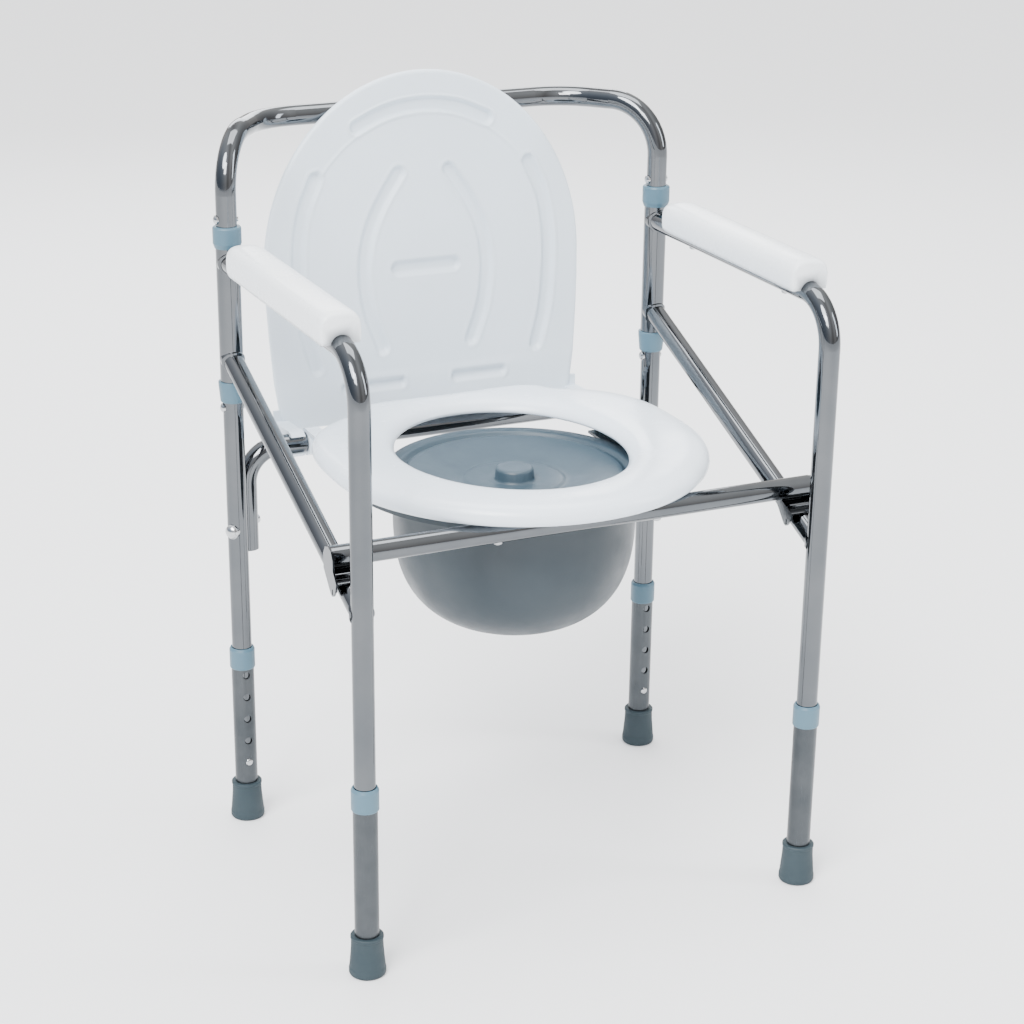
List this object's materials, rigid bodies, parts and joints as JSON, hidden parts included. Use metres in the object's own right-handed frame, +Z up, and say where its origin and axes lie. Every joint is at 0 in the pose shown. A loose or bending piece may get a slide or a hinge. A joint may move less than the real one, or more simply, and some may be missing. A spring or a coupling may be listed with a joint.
{
  "type": "commode chair",
  "caption": "Height-adjustable commode chair: tubular frame with armrests, ring seat with hinged lid, and a lidded pail hung under the seat.",
  "frame": {"origin": "centre of the chair's footprint on the floor, under the middle of its bounding box", "axes": "+X to the right seen from in front, +Y to the back of the chair, +Z up"},
  "size_m": [0.548, 0.5106, 0.8216],
  "materials": {
    "chrome": "bright polished chrome plate on steel tube",
    "satin_steel": "satin zinc-grey steel with a lengthwise grain",
    "bush_grey": "semi-matt blue-grey moulded plastic",
    "pad_white": "white moulded plastic with a soft sheen",
    "seat_white": "white moulded plastic with a soft sheen",
    "lid_white": "off-white moulded plastic, satin",
    "pail_blue": "blue-grey moulded plastic, satin",
    "pail_lid_blue": "lighter blue-grey moulded plastic, satin",
    "tip_rubber": "blue-grey rubber, matt",
    "bright_fixings": "polished plated fixings",
    "zinc_fixings": "dull zinc-plated screws",
    "spring_steel": "bare spring steel strip"
  },
  "bodies": {
    "frame": {"rear_frame": "chrome", "seat_crossbar": "chrome", "crossbar_bolts": "bright_fixings", "crossbar_nuts": "bright_fixings", "stop_rivets": "bright_fixings", "left_rear_spring": "spring_steel", "right_rear_spring": "spring_steel"},
    "left_side": {"left_sleeve": "chrome", "left_upper_bush": "bush_grey", "left_lower_bush": "bush_grey", "left_arm_tube": "chrome", "left_brace": "chrome", "left_armrest_pad": "pad_white", "left_pad_screws": "zinc_fixings", "left_front_spring": "spring_steel"},
    "right_side": {"right_sleeve": "chrome", "right_upper_bush": "bush_grey", "right_lower_bush": "bush_grey", "right_arm_tube": "chrome", "right_brace": "chrome", "right_armrest_pad": "pad_white", "right_pad_screws": "zinc_fixings", "right_front_spring": "spring_steel"},
    "seat": {"seat_ring": "seat_white", "front_bar": "chrome", "left_saddle": "chrome", "right_saddle": "chrome", "seat_screws": "zinc_fixings", "left_seat_clamp": "seat_white", "right_seat_clamp": "seat_white", "clamp_screws": "zinc_fixings", "left_pail_rail": "pail_blue", "right_pail_rail": "pail_blue", "rail_screws": "zinc_fixings"},
    "lid": {"lid": "lid_white", "left_lid_arm": "lid_white", "right_lid_arm": "lid_white", "lid_arm_screws": "zinc_fixings"},
    "pail": {"pail": "pail_blue"},
    "pail_lid": {"pail_lid": "pail_lid_blue"},
    "left_front_leg": {"left_front_extension": "satin_steel", "left_front_collar": "bush_grey", "left_front_tip": "tip_rubber"},
    "left_front_button": {"left_front_button": "bright_fixings"},
    "left_rear_leg": {"left_rear_extension": "satin_steel", "left_rear_collar": "bush_grey", "left_rear_tip": "tip_rubber"},
    "left_rear_button": {"left_rear_button": "bright_fixings"},
    "right_front_leg": {"right_front_extension": "satin_steel", "right_front_collar": "bush_grey", "right_front_tip": "tip_rubber"},
    "right_front_button": {"right_front_button": "bright_fixings"},
    "right_rear_leg": {"right_rear_extension": "satin_steel", "right_rear_collar": "bush_grey", "right_rear_tip": "tip_rubber"},
    "right_rear_button": {"right_rear_button": "bright_fixings"}
  },
  "joints": [
    {"name": "lid_hinge", "type": "hinge", "parent": "frame", "child": "lid", "pos_m": [0, 0.1602, 0.437], "axis": [-1, 0, 0], "range_deg": [-93.2, 0]},
    {"name": "seat_lift", "type": "hinge", "parent": "frame", "child": "seat", "pos_m": [0, 0.1602, 0.437], "axis": [-1, 0, 0], "range_deg": [0, 75]},
    {"name": "left_side_swing", "type": "hinge", "parent": "frame", "child": "left_side", "pos_m": [-0.2525, 0.1459, 0.59], "axis": [0, 0, 1], "range_deg": [-20, 0]},
    {"name": "right_side_swing", "type": "hinge", "parent": "frame", "child": "right_side", "pos_m": [0.2525, 0.1459, 0.59], "axis": [0, 0, 1], "range_deg": [0, 20]},
    {"name": "pail_slide", "type": "slide", "parent": "seat", "child": "pail", "axis": [0, 1, 0], "range_m": [0, 0.034]},
    {"name": "pail_lid_turn", "type": "hinge", "parent": "pail", "child": "pail_lid", "pos_m": [0, -0.0321, 0.43], "axis": [0, 0, 1], "continuous": true},
    {"name": "left_front_leg_slide", "type": "slide", "parent": "left_side", "child": "left_front_leg", "axis": [0, 0, -1], "range_m": [0, 0.108], "deforming": ["left_front_button"]},
    {"name": "left_front_button_press", "type": "slide", "parent": "left_side", "child": "left_front_button", "axis": [0, -1, 0], "range_m": [0, 0.0045], "stiffness_N_per_m": 600, "springref_m": -0.002, "deforming": ["left_front_spring"]},
    {"name": "left_rear_leg_slide", "type": "slide", "parent": "frame", "child": "left_rear_leg", "axis": [0, 0, -1], "range_m": [0, 0.108], "deforming": ["left_rear_button"]},
    {"name": "left_rear_button_press", "type": "slide", "parent": "frame", "child": "left_rear_button", "axis": [0, 1, 0], "range_m": [0, 0.0045], "stiffness_N_per_m": 600, "springref_m": -0.002, "deforming": ["left_rear_spring"]},
    {"name": "right_front_leg_slide", "type": "slide", "parent": "right_side", "child": "right_front_leg", "axis": [0, 0, -1], "range_m": [0, 0.108], "deforming": ["right_front_button"]},
    {"name": "right_front_button_press", "type": "slide", "parent": "right_side", "child": "right_front_button", "axis": [0, -1, 0], "range_m": [0, 0.0045], "stiffness_N_per_m": 600, "springref_m": -0.002, "deforming": ["right_front_spring"]},
    {"name": "right_rear_leg_slide", "type": "slide", "parent": "frame", "child": "right_rear_leg", "axis": [0, 0, -1], "range_m": [0, 0.108], "deforming": ["right_rear_button"]},
    {"name": "right_rear_button_press", "type": "slide", "parent": "frame", "child": "right_rear_button", "axis": [0, 1, 0], "range_m": [0, 0.0045], "stiffness_N_per_m": 600, "springref_m": -0.002, "deforming": ["right_rear_spring"]}
  ],
  "couplings": [
    {"joint": "left_side_swing", "follows": "seat_lift", "ratio": -0.25},
    {"joint": "right_side_swing", "follows": "seat_lift", "ratio": 0.25}
  ]
}
